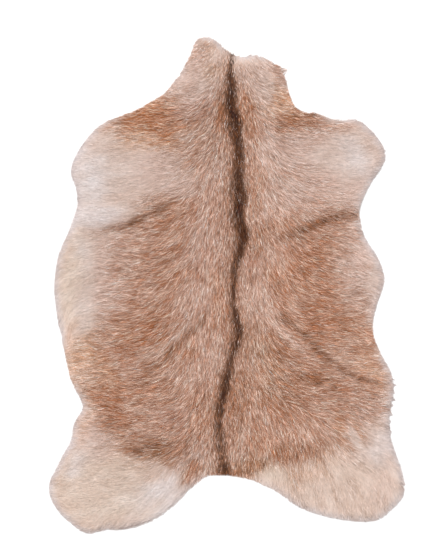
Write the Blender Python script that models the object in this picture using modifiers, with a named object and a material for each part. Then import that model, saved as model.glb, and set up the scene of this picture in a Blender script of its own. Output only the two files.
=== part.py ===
"""A hair-on goatskin lying flat: one soft sheet with its coat, folds and creases. Metres, +Z up."""

from collections import namedtuple

import bpy
import numpy as np
from mathutils import Vector, noise
from mathutils.geometry import delaunay_2d_cdt

MM = 0.001

# Driving sizes
HIDE_WIDTH = 0.674
HIDE_LENGTH = 0.944
RIM_DEPTH = 0.0026
COAT_MAX_DEPTH = 0.012
COAT_MIN_DEPTH = 0.0018
RIM_ROLL = 0.034

# Mesh spacings
EDGE_STEP = 0.008
NEAR_RING = 0.0085
FAR_RING = 0.020
GRID_STEP = 0.0185
FOLD_STEP = 0.0105
FOLD_SIDE_ROWS = (-0.009, 0.0, 0.0085, 0.018, 0.029)
SPINE_STEP = 0.016
CURVE_STEPS = 12
POINT_MERGE = 0.00001

# Least distances of the mesh points to the rim and to each other
Layer = namedtuple("Layer", "rim_gap point_gap")

NEAR_RING_LAYER = Layer(0.0072, 0.0048)
FOLD_LAYER = Layer(0.0072, 0.0045)
FAR_RING_LAYER = Layer(0.018, 0.0096)
GRID_LAYER = Layer(0.022, 0.0122)

# Unevenness of the coat
LUMP_SIZE = 0.058
LUMP_HEIGHT = 0.0015
LUMP_SEED = 5.0
EDGE_WAVE_SIZE = 0.021
EDGE_WAVE_HEIGHT = 0.0011
EDGE_WAVE_SEED = 0.0
SPOT_BLEND = 0.020

# Colour and gloss of the hair, lit evenly
HAIR_COLOUR = (0.47, 0.29, 0.21, 1.0)
HAIR_ROUGHNESS = 0.85

# The outline, clockwise from the neck, in millimetres from the middle of the hide
EdgePoint = namedtuple("EdgePoint", "place x y")

NECK_EDGE = [
    EdgePoint("crown left", -55, 467),
    EdgePoint("crown", -35, 472),
    EdgePoint("crown right", -18, 465),
    EdgePoint("nape slope", -1, 448),
    EdgePoint("nape dip", 26, 435),
    EdgePoint("nape rise", 54, 438),
    EdgePoint("neck corner", 86, 424),
    EdgePoint("neck right", 109, 397),
    EdgePoint("neck base", 118, 364),
]

RIGHT_SHOULDER_EDGE = [
    EdgePoint("notch", 138, 329),
    EdgePoint("top", 166, 328),
    EdgePoint("saddle", 197, 315),
    EdgePoint("front", 249, 313),
    EdgePoint("corner", 269, 298),
    EdgePoint("slope", 295, 266),
    EdgePoint("tip", 301, 238),
    EdgePoint("back", 276, 197),
    EdgePoint("armpit", 252, 145),
]

RIGHT_FLANK_EDGE = [
    EdgePoint("front", 262, 90),
    EdgePoint("rise", 287, 50),
    EdgePoint("bulge", 299, 9),
    EdgePoint("back", 283, -45),
    EdgePoint("groin", 277, -86),
    EdgePoint("groin back", 292, -132),
    EdgePoint("hip front", 311, -166),
    EdgePoint("hip", 315, -193),
]

RIGHT_HIND_EDGE = [
    EdgePoint("thigh", 309, -246),
    EdgePoint("hock", 312, -295),
    EdgePoint("shank", 331, -352),
    EdgePoint("foot side", 338, -383),
    EdgePoint("foot corner", 329, -410),
    EdgePoint("foot", 293, -445),
    EdgePoint("foot end", 265, -451),
    EdgePoint("foot inner", 197, -443),
    EdgePoint("shank inner", 143, -426),
    EdgePoint("thigh inner", 94, -393),
]

RUMP_EDGE = [
    EdgePoint("right", 45, -371),
    EdgePoint("tail", -9, -363),
    EdgePoint("left", -37, -365),
]

LEFT_HIND_EDGE = [
    EdgePoint("thigh inner", -69, -389),
    EdgePoint("shank inner", -109, -429),
    EdgePoint("foot inner", -153, -455),
    EdgePoint("foot", -206, -468),
    EdgePoint("foot dent", -229, -466),
    EdgePoint("foot end", -259, -474),
    EdgePoint("foot corner", -291, -457),
    EdgePoint("foot side", -321, -429),
    EdgePoint("shank", -337, -389),
    EdgePoint("shank back", -319, -343),
    EdgePoint("hock", -293, -292),
    EdgePoint("hock top", -286, -259),
]

LEFT_FLANK_EDGE = [
    EdgePoint("groin", -272, -234),
    EdgePoint("back", -295, -181),
    EdgePoint("low", -308, -121),
    EdgePoint("belly", -323, -48),
    EdgePoint("bulge", -326, 1),
    EdgePoint("front", -319, 54),
    EdgePoint("top", -298, 104),
]

LEFT_SHOULDER_EDGE = [
    EdgePoint("armpit", -283, 149),
    EdgePoint("dent", -284, 178),
    EdgePoint("tip", -295, 216),
    EdgePoint("round", -274, 265),
    EdgePoint("corner", -243, 300),
    EdgePoint("front", -205, 318),
    EdgePoint("top", -161, 337),
    EdgePoint("neck base", -116, 365),
    EdgePoint("neck low", -88, 400),
    EdgePoint("neck", -68, 438),
]

OUTLINE = (NECK_EDGE + RIGHT_SHOULDER_EDGE + RIGHT_FLANK_EDGE + RIGHT_HIND_EDGE
           + RUMP_EDGE + LEFT_HIND_EDGE + LEFT_FLANK_EDGE + LEFT_SHOULDER_EDGE)

# Locks of hair that stand out from the rim, in millimetres
RimLock = namedtuple("RimLock", "place x y reach half_width")

RIM_LOCKS = [
    RimLock("neck corner tuft", 100, 411, 7.0, 7),
    RimLock("right hip tuft", 314, -196, 3.0, 7),
    RimLock("right thigh tuft", 312, -216, 3.5, 7),
    RimLock("right thigh low tuft", 310, -236, 3.0, 7),
    RimLock("left neck tuft", -98, 386, 2.5, 9),
    RimLock("left shoulder tuft", -222, 310, 2.0, 9),
    RimLock("left hock tuft", -290, -276, 2.5, 8),
    RimLock("left foot tuft", -275, -468, 2.5, 9),
    RimLock("right foot tuft", 331, -404, 2.0, 9),
]

# Depth of the lying coat with its skin, in millimetres
CoatSpot = namedtuple("CoatSpot", "place x y depth")

COAT_SPOTS = [
    CoatSpot("crown", -35, 440, 5.5),
    CoatSpot("neck", 20, 370, 8.0),
    CoatSpot("withers", 15, 250, 9.5),
    CoatSpot("mid back", 15, 60, 9.5),
    CoatSpot("loin", 5, -130, 9.0),
    CoatSpot("rump", -5, -310, 8.5),
    CoatSpot("left shoulder", -200, 250, 7.0),
    CoatSpot("right shoulder", 220, 240, 7.0),
    CoatSpot("left flank", -230, 10, 7.0),
    CoatSpot("right flank", 210, 10, 7.0),
    CoatSpot("left thigh", -170, -240, 7.5),
    CoatSpot("right thigh", 190, -230, 7.5),
    CoatSpot("left foot", -240, -400, 5.5),
    CoatSpot("right foot", 250, -390, 5.5),
]

# Folds: the skin buckles up on one side of a crease line. The raised side is on the left
# hand when walking along the rows. Rise is the fold's height and crease the parting's depth.
FoldRow = namedtuple("FoldRow", "x y rise crease")
Fold = namedtuple("Fold", "name crest reach crease_half_width rows")

FOLDS = [
    Fold("left armpit fold", 18, 42, 5, [
        FoldRow(-290, 105, 4.5, 1.0),
        FoldRow(-250, 107, 6.5, 1.8),
        FoldRow(-214, 111, 7.5, 2.0),
        FoldRow(-185, 120, 7.0, 2.0),
        FoldRow(-164, 132, 5.5, 2.0),
        FoldRow(-135, 146, 3.0, 1.5),
        FoldRow(-107, 162, 0.0, 0.0),
    ]),
    Fold("right armpit fold", 18, 42, 5, [
        FoldRow(83, 75, 0.0, 0.0),
        FoldRow(107, 85, 2.0, 1.0),
        FoldRow(132, 96, 4.0, 1.5),
        FoldRow(159, 108, 5.5, 2.0),
        FoldRow(181, 122, 6.5, 2.0),
        FoldRow(212, 130, 6.5, 1.8),
        FoldRow(248, 133, 4.5, 1.0),
    ]),
    Fold("right neck fold", 15, 28, 5, [
        FoldRow(96, 293, 0.0, 0.0),
        FoldRow(110, 301, 3.0, 1.5),
        FoldRow(128, 311, 4.5, 2.0),
        FoldRow(144, 316, 3.0, 1.0),
    ]),
    Fold("left neck fold", 14, 26, 5, [
        FoldRow(-160, 316, 0.0, 0.0),
        FoldRow(-143, 322, 2.5, 1.2),
        FoldRow(-118, 319, 2.5, 1.2),
        FoldRow(-98, 313, 0.0, 0.0),
    ]),
    Fold("left loin fold", 18, 36, 7, [
        FoldRow(-182, -182, 0.0, 0.0),
        FoldRow(-153, -160, 3.5, 1.5),
        FoldRow(-134, -146, 4.5, 2.0),
        FoldRow(-109, -131, 5.0, 2.2),
        FoldRow(-86, -107, 4.5, 2.0),
        FoldRow(-69, -90, 3.0, 1.5),
        FoldRow(-48, -66, 0.0, 0.0),
    ]),
    Fold("left thigh fold", 14, 24, 5, [
        FoldRow(-172, -202, 0.0, 0.0),
        FoldRow(-148, -188, 2.0, 1.2),
        FoldRow(-118, -172, 0.0, 0.0),
    ]),
    Fold("right loin fold", 18, 34, 6, [
        FoldRow(276, -187, 0.5, 0.5),
        FoldRow(256, -177, 3.5, 1.5),
        FoldRow(229, -166, 4.8, 2.0),
        FoldRow(193, -137, 5.0, 2.2),
        FoldRow(162, -113, 4.5, 2.0),
        FoldRow(143, -92, 3.5, 1.5),
        FoldRow(108, -66, 0.0, 0.0),
    ]),
    Fold("left hind fold", 14, 26, 6, [
        FoldRow(-205, -320, 0.0, 0.0),
        FoldRow(-180, -314, 2.5, 1.2),
        FoldRow(-155, -310, 2.5, 1.2),
        FoldRow(-125, -312, 0.0, 0.0),
    ]),
    Fold("right hind fold", 14, 28, 5, [
        FoldRow(286, -405, 0.0, 0.0),
        FoldRow(291, -375, 2.2, 1.2),
        FoldRow(290, -345, 2.5, 1.2),
        FoldRow(284, -312, 0.0, 0.0),
    ]),
]

# Soft swells of the skin, in millimetres
Swell = namedtuple("Swell", "place x y half_length half_width turn_deg rise")

SWELLS = [
    Swell("left shoulder swell", -225, 225, 60, 42, 15, 5.0),
    Swell("right shoulder swell", 255, 225, 45, 34, -20, 4.5),
    Swell("left flank swell", -285, 10, 75, 28, 85, 3.5),
    Swell("right flank swell", 262, 5, 50, 28, 85, 4.0),
    Swell("right hip swell", 288, -158, 26, 16, -55, 4.0),
    Swell("right loin swell", 112, -118, 60, 18, -42, 3.0),
    Swell("crown swell", -40, 435, 34, 24, -40, 3.5),
    Swell("left foot swell", -262, -402, 60, 40, 60, 4.5),
    Swell("right foot swell", 282, -392, 42, 36, -50, 4.0),
]

# The parting along the spine, in millimetres
SpineRow = namedtuple("SpineRow", "x y depth")

SPINE_HALF_WIDTH = 7
SPINE = [
    SpineRow(14, 436, 0.0),
    SpineRow(7, 398, 1.2),
    SpineRow(9, 340, 1.6),
    SpineRow(20, 270, 1.8),
    SpineRow(23, 215, 1.8),
    SpineRow(29, 165, 2.0),
    SpineRow(22, 130, 2.0),
    SpineRow(34, 85, 2.2),
    SpineRow(16, 40, 1.8),
    SpineRow(12, -20, 1.6),
    SpineRow(26, -85, 2.0),
    SpineRow(13, -130, 2.0),
    SpineRow(1, -175, 1.8),
    SpineRow(-14, -235, 1.6),
    SpineRow(-16, -290, 1.2),
    SpineRow(-8, -345, 0.0),
]


def clear_scene():
    for item in list(bpy.data.objects):
        bpy.data.objects.remove(item, do_unlink=True)


def smooth_step(value):
    eased = np.clip(value, 0.0, 1.0)
    return eased * eased * (3.0 - 2.0 * eased)


def curve_piece(before, start, end, after, steps):
    """Points from start up to end on a centripetal curve through all four points."""
    first = np.sqrt(np.linalg.norm(start - before))
    second = first + np.sqrt(np.linalg.norm(end - start))
    third = second + np.sqrt(np.linalg.norm(after - end))
    points = []
    for place in np.linspace(first, second, steps, endpoint=False):
        low = before + (start - before) * place / first
        mid = start + (end - start) * (place - first) / (second - first)
        high = end + (after - end) * (place - second) / (third - second)
        near = low + (mid - low) * place / second
        far = mid + (high - mid) * (place - first) / (third - first)
        points.append(near + (far - near) * (place - first) / (second - first))
    return points


def closed_curve(points):
    """A smooth closed line through every point."""
    count = len(points)
    line = []
    for index in range(count):
        line += curve_piece(points[index - 1], points[index], points[(index + 1) % count],
                            points[(index + 2) % count], CURVE_STEPS)
    return np.array(line)


def open_curve(points):
    """A smooth open line through every point."""
    first = 2.0 * points[0] - points[1]
    last = 2.0 * points[-1] - points[-2]
    padded = [first] + list(points) + [last]
    line = []
    for index in range(1, len(padded) - 2):
        line += curve_piece(padded[index - 1], padded[index], padded[index + 1],
                            padded[index + 2], CURVE_STEPS)
    line.append(points[-1])
    return np.array(line)


def even_spacing(line, step, closed):
    """The line again, with its points a step apart."""
    if closed:
        line = np.vstack([line, line[:1]])
    spans = np.linalg.norm(np.diff(line[:, :2], axis=0), axis=1)
    travelled = np.concatenate([[0.0], np.cumsum(spans)])
    count = max(2, int(round(travelled[-1] / step)))
    places = np.linspace(0.0, travelled[-1], count, endpoint=not closed)
    return np.column_stack([np.interp(places, travelled, column) for column in line.T])


def outward_normals(ring):
    """Unit normals of a clockwise ring, pointing away from the hide."""
    along = np.roll(ring, -1, axis=0) - np.roll(ring, 1, axis=0)
    along /= np.linalg.norm(along, axis=1)[:, None]
    return np.column_stack([-along[:, 1], along[:, 0]])


def fit_to_size(ring):
    """The ring centred and brought to the hide's full width and length."""
    low = ring.min(axis=0)
    high = ring.max(axis=0)
    scale = np.array([HIDE_WIDTH, HIDE_LENGTH]) / (high - low)
    return (ring - (low + high) / 2.0) * scale


def hide_outline():
    """The rim as a clockwise ring with its uneven edge and standing locks."""
    landmarks = np.array([[row.x, row.y] for row in OUTLINE], dtype=float) * MM
    ring = even_spacing(closed_curve(landmarks), EDGE_STEP, closed=True)
    reach = np.zeros(len(ring))
    for index, (x, y) in enumerate(ring):
        wave = noise.noise(Vector((x / EDGE_WAVE_SIZE, y / EDGE_WAVE_SIZE, EDGE_WAVE_SEED)))
        reach[index] = wave * EDGE_WAVE_HEIGHT
    for lock in RIM_LOCKS:
        away = np.linalg.norm(ring - np.array([lock.x, lock.y]) * MM, axis=1)
        reach += lock.reach * MM * np.exp(-(away / (lock.half_width * MM)) ** 2)
    return fit_to_size(ring + outward_normals(ring) * reach[:, None])


def line_distance(points, line):
    """For each point: distance to the line, its side (left is positive), and the place on it."""
    best = np.full(len(points), np.inf)
    side = np.zeros(len(points))
    place = np.zeros(len(points))
    for index in range(len(line) - 1):
        start = line[index, :2]
        along = line[index + 1, :2] - start
        length_squared = float(along @ along)
        offset = points - start
        part = np.clip(offset @ along / length_squared, 0.0, 1.0)
        gap = offset - part[:, None] * along
        away = np.linalg.norm(gap, axis=1)
        turn = along[0] * offset[:, 1] - along[1] * offset[:, 0]
        nearer = away < best
        best = np.where(nearer, away, best)
        side = np.where(nearer, np.sign(turn), side)
        place = np.where(nearer, index + part, place)
    return best, side, place


def fold_line(fold):
    """A fold's rows as a smooth line with columns x, y, rise and crease in metres."""
    rows = [np.array([row.x, row.y, row.rise, row.crease]) * MM for row in fold.rows]
    return open_curve(rows)


def spine_line():
    rows = [np.array([row.x, row.y, row.depth]) * MM for row in SPINE]
    return open_curve(rows)


def column_at(line, place, column):
    return np.interp(place, np.arange(len(line)), line[:, column])


def fold_fields(points):
    """How far the folds lift the skin, and how deep their creases part the coat."""
    lift = np.zeros(len(points))
    parting = np.zeros(len(points))
    for fold in FOLDS:
        line = fold_line(fold)
        away, side, place = line_distance(points, line)
        rise = np.maximum(column_at(line, place, 2), 0.0)
        crease = np.maximum(column_at(line, place, 3), 0.0)
        crest = fold.crest * MM
        reach = fold.reach * MM
        climb = smooth_step(away / crest)
        fall = 1.0 - smooth_step((away - crest) / reach)
        raised = np.where(away < crest, climb, fall)
        lift += np.where(side > 0.0, rise * raised, 0.0)
        half_width = fold.crease_half_width * MM
        parting += crease * (1.0 - smooth_step(away / (2.0 * half_width)))
    return lift, parting


def swell_field(points):
    """Height of the broad swells, zero outside each one's oval."""
    lift = np.zeros(len(points))
    for swell in SWELLS:
        turn = np.radians(swell.turn_deg)
        offset = points - np.array([swell.x, swell.y]) * MM
        along = offset @ np.array([np.cos(turn), np.sin(turn)])
        across = offset @ np.array([-np.sin(turn), np.cos(turn)])
        oval = np.hypot(along / (swell.half_length * MM), across / (swell.half_width * MM))
        lift += swell.rise * MM * (1.0 - smooth_step(oval))
    return lift


def spine_field(points):
    """Depth of the parting that runs down the back."""
    line = spine_line()
    away, _, place = line_distance(points, line)
    depth = np.maximum(column_at(line, place, 2), 0.0)
    return depth * (1.0 - smooth_step(away / (2.0 * SPINE_HALF_WIDTH * MM)))


def coat_depth(points, ring):
    """Depth of coat and skin together, thin at the rim and deepest on the back."""
    total = np.zeros(len(points))
    weight = np.zeros(len(points))
    for spot in COAT_SPOTS:
        away = np.linalg.norm(points - np.array([spot.x, spot.y]) * MM, axis=1)
        share = 1.0 / (away ** 2 + SPOT_BLEND ** 2)
        total += share * spot.depth * MM
        weight += share
    depth = total / weight
    for index, (x, y) in enumerate(points):
        lump = noise.noise(Vector((x / LUMP_SIZE, y / LUMP_SIZE, LUMP_SEED)))
        depth[index] += lump * LUMP_HEIGHT
    rim_away, _, _ = line_distance(points, np.vstack([ring, ring[:1]]))
    inward = smooth_step(rim_away / RIM_ROLL)
    return RIM_DEPTH + (depth - RIM_DEPTH) * inward


def grid_points(ring):
    """A staggered grid over the hide's box."""
    low = ring.min(axis=0)
    high = ring.max(axis=0)
    row_step = GRID_STEP * np.sqrt(3.0) / 2.0
    points = []
    for row, y in enumerate(np.arange(low[1], high[1], row_step)):
        shift = GRID_STEP / 2.0 if row % 2 else 0.0
        points += [[x + shift, y] for x in np.arange(low[0], high[0], GRID_STEP)]
    return np.array(points)


def fold_rows():
    """Rows of points along every crease, its raised side and the spine."""
    points = []
    for fold in FOLDS:
        line = even_spacing(fold_line(fold), FOLD_STEP, closed=False)[:, :2]
        along = np.gradient(line, axis=0)
        along /= np.linalg.norm(along, axis=1)[:, None]
        left = np.column_stack([-along[:, 1], along[:, 0]])
        points += [line + left * aside for aside in FOLD_SIDE_ROWS]
    spine = even_spacing(spine_line(), SPINE_STEP, closed=False)[:, :2]
    side_step = np.array([SPINE_HALF_WIDTH * 2.0 * MM, 0.0])
    points += [spine - side_step, spine, spine + side_step]
    return np.vstack(points)


def inside_ring(points, ring):
    """True for the points within the ring."""
    inside = np.zeros(len(points), dtype=bool)
    for start, end in zip(ring, np.roll(ring, -1, axis=0)):
        spans = (start[1] > points[:, 1]) != (end[1] > points[:, 1])
        rise = end[1] - start[1]
        run = (end[0] - start[0]) * (points[:, 1] - start[1]) / (rise if rise else 1.0)
        inside ^= spans & (points[:, 0] < start[0] + run)
    return inside


def add_spaced(kept, candidates, gap):
    """The kept points with each candidate that stands clear of all of them."""
    count = len(kept)
    points = np.vstack([kept, candidates])
    for point in candidates:
        offset = points[:count] - point
        if np.min(np.einsum("ij,ij->i", offset, offset)) > gap ** 2:
            points[count] = point
            count += 1
    return points[:count]


def inner_points(ring):
    """Points inside the rim: rings along it, rows on the folds, and a grid between."""
    closed_ring = np.vstack([ring, ring[:1]])
    outward = outward_normals(ring)
    candidates = [
        (ring - outward * NEAR_RING, NEAR_RING_LAYER),
        (fold_rows(), FOLD_LAYER),
        (ring - outward * FAR_RING, FAR_RING_LAYER),
        (grid_points(ring), GRID_LAYER),
    ]
    kept = ring
    for points, layer in candidates:
        rim_away, _, _ = line_distance(points, closed_ring)
        clear = inside_ring(points, ring) & (rim_away > layer.rim_gap)
        kept = add_spaced(kept, points[clear], layer.point_gap)
    return kept[len(ring):]


def build_sheet(name, ring):
    """The underside of the hide as an open surface lying on the floor."""
    points = np.vstack([ring, inner_points(ring)])
    count = len(ring)
    edges = [(index, (index + 1) % count) for index in range(count)]
    flat = [Vector(point) for point in points]
    verts, _, faces, _, _, _ = delaunay_2d_cdt(flat, edges, [], 1, POINT_MERGE)
    plan = np.array([[vert.x, vert.y] for vert in verts])
    fold_lift, parting = fold_fields(plan)
    lift = fold_lift + swell_field(plan)
    depth = coat_depth(plan, ring) - parting - spine_field(plan)
    depth = np.clip(depth, COAT_MIN_DEPTH, COAT_MAX_DEPTH)
    coords = np.column_stack([plan, lift])
    mesh = bpy.data.meshes.new(name)
    mesh.from_pydata(coords.tolist(), [], [list(face) for face in faces])
    mesh.polygons.foreach_set("use_smooth", [True] * len(mesh.polygons))
    sheet = bpy.data.objects.new(name, mesh)
    group = sheet.vertex_groups.new(name="coat depth")
    for index, share in enumerate(depth / COAT_MAX_DEPTH):
        group.add([index], float(share), "REPLACE")
    return sheet


def add_coat(sheet):
    """Thickens the sheet upwards by the depth of its coat."""
    solidify = sheet.modifiers.new("coat", "SOLIDIFY")
    solidify.thickness = COAT_MAX_DEPTH
    solidify.offset = 1.0
    solidify.vertex_group = "coat depth"
    solidify.use_rim = True


def hide_material():
    material = bpy.data.materials.new("hair-on goatskin")
    material.use_nodes = True
    shader = material.node_tree.nodes["Principled BSDF"]
    shader.inputs["Base Color"].default_value = HAIR_COLOUR
    shader.inputs["Roughness"].default_value = HAIR_ROUGHNESS
    return material


def main():
    clear_scene()
    collection = bpy.data.collections.new("goatskin")
    bpy.context.scene.collection.children.link(collection)
    hide = build_sheet("goatskin", hide_outline())
    add_coat(hide)
    hide.data.materials.append(hide_material())
    collection.objects.link(hide)


main()
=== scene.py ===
import math
from collections import namedtuple

import bmesh
import bpy
import numpy as np
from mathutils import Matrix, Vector
from mathutils.bvhtree import BVHTree
from mathutils.geometry import delaunay_2d_cdt


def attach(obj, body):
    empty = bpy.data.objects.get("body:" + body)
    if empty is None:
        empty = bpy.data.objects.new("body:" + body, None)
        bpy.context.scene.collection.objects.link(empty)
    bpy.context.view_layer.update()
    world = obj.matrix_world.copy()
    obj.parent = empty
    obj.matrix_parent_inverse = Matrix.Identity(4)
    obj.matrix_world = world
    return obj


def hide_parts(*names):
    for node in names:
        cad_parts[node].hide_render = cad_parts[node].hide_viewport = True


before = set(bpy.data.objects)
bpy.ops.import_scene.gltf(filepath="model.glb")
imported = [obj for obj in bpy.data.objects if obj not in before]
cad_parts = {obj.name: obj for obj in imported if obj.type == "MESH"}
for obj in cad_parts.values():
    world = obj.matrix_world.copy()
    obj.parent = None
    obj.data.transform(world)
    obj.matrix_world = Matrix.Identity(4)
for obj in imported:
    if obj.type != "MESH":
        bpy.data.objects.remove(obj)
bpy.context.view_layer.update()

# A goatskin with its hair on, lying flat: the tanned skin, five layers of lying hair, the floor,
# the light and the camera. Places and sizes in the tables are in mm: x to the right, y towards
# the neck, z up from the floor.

MM = 0.001
NODE = "goatskin"


def table(kind, rows):
    """The rows with named columns."""
    return [kind(*row) for row in rows]


# Smooth noise of this height and size, and the same drawn out along the hair over a reach
Wave = namedtuple("Wave", "height size seed")
Streaks = namedtuple("Streaks", "height size reach seed")

# Reading the solid
WELD = 1e-6
STEEP = 0.5
GRID_STEP = 3.0
GRID_HALF_WIDTH = 354.0
GRID_HALF_LENGTH = 489.0
JUST_PAST_LAST = 1.001
FAR = 0.1

# The skin under the hair
SKIN_INSET = 2.2
SKIN_EDGE_WAVES = [Wave(0.7, 17, 6)]
SKIN_LIFT = 0.2
SKIN_DEPTH = 1.9
SKIN_EDGE_DEPTH = 1.3
SKIN_EDGE_REACH = 12.0
SKIN_POINT_GAP = 9.0
SKIN_POINT_CLEAR = 5.0
SUEDE_TONES = ((0.50, 0.40, 0.30), (0.72, 0.64, 0.53))

# The hair
ROOT_INSET = 1.4
ROOT_HEIGHT = 1.5
ROOT_DEPTH_SHARE = 0.6
LOCK_RADIUS = 1.7
LOCK_LENGTHS = (0.82, 1.18)
STRAND_LENGTHS = (0.72, 1.1)
STRAND_WIDTHS = (0.75, 1.25)
ROOT_WIDTH = 0.8
MID_GATHER = 0.28
TIP_GATHER = 0.60
OVERHANG = 2.5
TUFT_OVERHANG = 5.5
TUFT_SHARE = 0.04
FRINGE_BAND = 5.0
FRINGE_SHARE = 0.50
FRINGE_LENGTH = 7.0
FRINGE_LENGTHS = (0.6, 1.2)
FRINGE_SWAY = 38.0
TUFT_LENGTHS = (0.6, 1.1)
TRIM_ROUNDS = 3
LEAST_TRIM = 0.12
LEAST_RUN = 1e-6
LOCK_SWAY = 8.0
STRAND_SWAY = 6.0
BEND = 14.0
LOCK_BEND = 0.7
STRAND_BEND = 0.5
ROLL = 48.0
MID_HEIGHT = 0.72
CELLS_ACROSS = 256
CELL_MARGIN = 0.12

# How far the hair's lie wanders, in degrees
LIE_WAVES = [Wave(9, 30, 5), Wave(6, 12, 9)]

# Tones are display values, 0 to 255
TONES = {
    "fawn": (186, 149, 131),
    "rosy fawn": (189, 151, 134),
    "brown": (178, 133, 110),
    "dark brown": (152, 109, 87),
    "ginger": (170, 117, 87),
    "chestnut": (166, 117, 92),
    "light ginger": (204, 161, 134),
    "smoky": (166, 130, 108),
    "cream": (219, 201, 186),
    "sand": (207, 184, 170),
    "peach": (206, 172, 152),
    "pale": (216, 198, 187),
    "white": (223, 212, 206),
    "rosy": (205, 178, 165),
    "umber": (63, 45, 39),
}

# From tones to base colours: the gloss adds shine, and light bounced between hairs deepens colour
TONE_GAIN = 1.12
HAIR_GLOSS = 0.20
SHINE = 0.016
LEAST_COLOUR = 0.003
BOUNCE_GAIN = (1.14, 1.10, 1.02)
BOUNCE_POWER = (1.10, 1.03, 0.96)

# Roots, middles and undercoat are darker, painted shade deep in the coat, less so where the hair is pale.
# Pale hair is also calmer.
ROOT_SHADE = (0.60, 0.50, 0.43)
MIDDLE_SHADE = 0.9
PALE_FROM = 148.0
PALE_RANGE = 28.0
PALE_STREAKS = 0.6
PALE_CALM = 0.86
CALM_POWER = 1.5
PALE_ROOT_SHADE = (0.90, 0.85, 0.81)
PALE_GAIN = 0.04
WOOL_SHADE = 0.50
PALE_WOOL_SHADE = 0.85

# Frosted hairs among darker ones: how far they go towards their tone, what the others lose by
# it, how many there are, and how strands and locks differ
FROST_TONE = (240, 227, 223)
DARK_FROST = 0.7
FROST_REACH = 0.48
FROST_LOSS = (1.1, 0.85, 0.65)
FROST_SHARE = 0.44
FROST_SHARE_LIMITS = (0.1, 0.8)
FROST_PATCHES = 0.30
FROST_STREAKS = [Streaks(0.6, 11, 14, 7)]
FROST_LUMPS = [Wave(0.4, 8, 8)]
LIGHT_FROM = 105
LIGHT_RANGE = 80
LEAST_LIGHT = 0.20
TIP_TONE = (238, 220, 210)
TIP_BLEACH = 0.08
LOCK_PART = 0.30
LOCK_CONTRAST = 0.05
STRAND_CONTRAST = 0.35
DARK_CONTRAST = 1.3
VARY_TONE = (0.92, 1.0, 1.10)
PALE_VARY_TONE = (0.74, 1.05, 1.28)
TONE_SCATTER = 2.0
SEEN_MIDDLE = 0.6

# Painted shade at the rim, where the hair bends down at the edge: a grey tone, with painted light on the
# sides that face the upper left and painted shade on the far sides
EDGE_SHADE_TONE = (196, 186, 183)
EDGE_LIGHT = 14.0
EDGE_LIGHT_HEADING = math.radians(120)
EDGE_SHADE_SHARE = 0.92
EDGE_SHADE_FADE = 7.5
EDGE_SHADE_POWER = 1.5

# Creases, markings, mottling and the stripe, with values for its left and right side
FOLD_WIDTH = 5.5
MARKING_FALL = 0.7
MARKING_POWER = 1.5
WARP_ACROSS = [Wave(9, 34, 1), Wave(4, 13, 2)]
WARP_ALONG = [Wave(9, 34, 3), Wave(4, 13, 4)]
MOTTLE = 4.6
MOTTLE_TONE = (1.0, 1.25, 1.35)
MOTTLE_STREAKS = [Streaks(1, 15, 16, 10), Streaks(0.6, 7, 10, 11)]
STREAK_STEPS = 5
STREAK_GAIN = 1.7
STRIPE_SOFT = 2.0
STRIPE_HALO = 0.7
STRIPE_CORE = (1.12, 0.9)
STRIPE_POWER = (2.2, 4)
STRIPE_RAGGED = [Wave(2.2, 8, 12)]
STRIPE_DEPTH = 0.88
STRIPE_DEPTH_WAVES = [Wave(0.12, 14, 13)]
BACK_HALF_WIDTH = 55.0
BACK_SHORTER = 0.40

# A layer's shade scales its colour, the lower layers darker: painted shade deep in the coat
Layer = namedtuple("Layer", "name seed lock_gap strands length width low high shade")
LAYERS = table(Layer, [
    ("hair_under", 11, 6.4, 4, 0.70, 0.90, 0.40, 0.60, 0.80),
    ("hair_low", 12, 6.6, 5, 0.95, 0.66, 0.55, 0.78, 0.95),
    ("hair_middle", 13, 6.6, 5, 1.05, 0.60, 0.62, 0.88, 1.00),
    ("hair_upper", 14, 6.6, 5, 1.15, 0.54, 0.70, 0.96, 1.04),
    ("hair_top", 15, 6.6, 5, 1.25, 0.48, 0.75, 1.00, 1.08),
])

LengthRow = namedtuple("LengthRow", "y length")
LENGTHS = table(LengthRow, [
    (-470, 17), (-380, 20), (-300, 22), (-100, 24),
    (100, 24), (250, 23), (340, 20), (400, 16), (470, 13),
])

# The hair's lie: straight down on the axis, turning outwards within a spread on each side
FlowRow = namedtuple("FlowRow", "y axis left_spread right_spread")
FLOW = table(FlowRow, [
    (-470, -8, 80, 300), (-380, -8, 80, 260), (-305, -8, 80, 190),
    (-220, -4, 78, 105), (-125, 8, 130, 82), (60, 14, 105, 127),
    (240, 18, 80, 84), (340, 8, 50, 60), (470, 8, 45, 55),
])
FULL_TURN = 86.0
TURN_POWER = 2.3

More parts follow.
